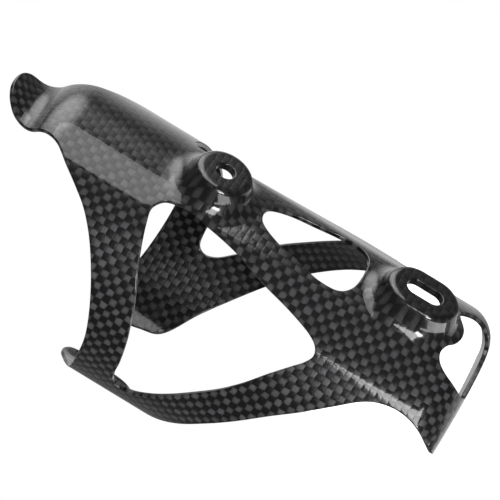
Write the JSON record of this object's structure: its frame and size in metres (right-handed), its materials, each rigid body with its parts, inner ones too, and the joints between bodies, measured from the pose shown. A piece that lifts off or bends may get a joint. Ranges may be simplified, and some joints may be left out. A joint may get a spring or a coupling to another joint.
{
  "type": "water bottle cage",
  "caption": "One-piece woven carbon bottle cage: curved back with two bolt bosses, side arms that wrap a round bottle, curled top lip and a footed floor strap.",
  "frame": {"origin": "midway between the two bolt holes, on the plane of the bolt seats that lies against the bicycle frame tube", "axes": "+Z along the bottle axis toward the bottle's mouth, -Y out of the seats into the bicycle frame tube, +Y toward the open side the wings leave free, +X to the right wing"},
  "size_m": [0.074, 0.0796, 0.152],
  "materials": {
    "carbon_laminate": "glossy clear coat over plain-weave carbon fibre laminate"
  },
  "bodies": {
    "root": {"head_shell": "carbon_laminate", "retention_tongue": "carbon_laminate", "upper_bridge": "carbon_laminate", "upper_boss_seat": "carbon_laminate", "upper_boss_flank": "carbon_laminate", "tail_plate": "carbon_laminate", "lower_boss_seat": "carbon_laminate", "lower_boss_flank": "carbon_laminate", "floor_strap": "carbon_laminate", "left_upper_arm": "carbon_laminate", "left_lower_arm": "carbon_laminate", "left_wing_tip": "carbon_laminate", "left_strut": "carbon_laminate", "left_foot": "carbon_laminate", "right_upper_arm": "carbon_laminate", "right_lower_arm": "carbon_laminate", "right_wing_tip": "carbon_laminate", "right_strut": "carbon_laminate", "right_foot": "carbon_laminate"}
  },
  "joints": []
}
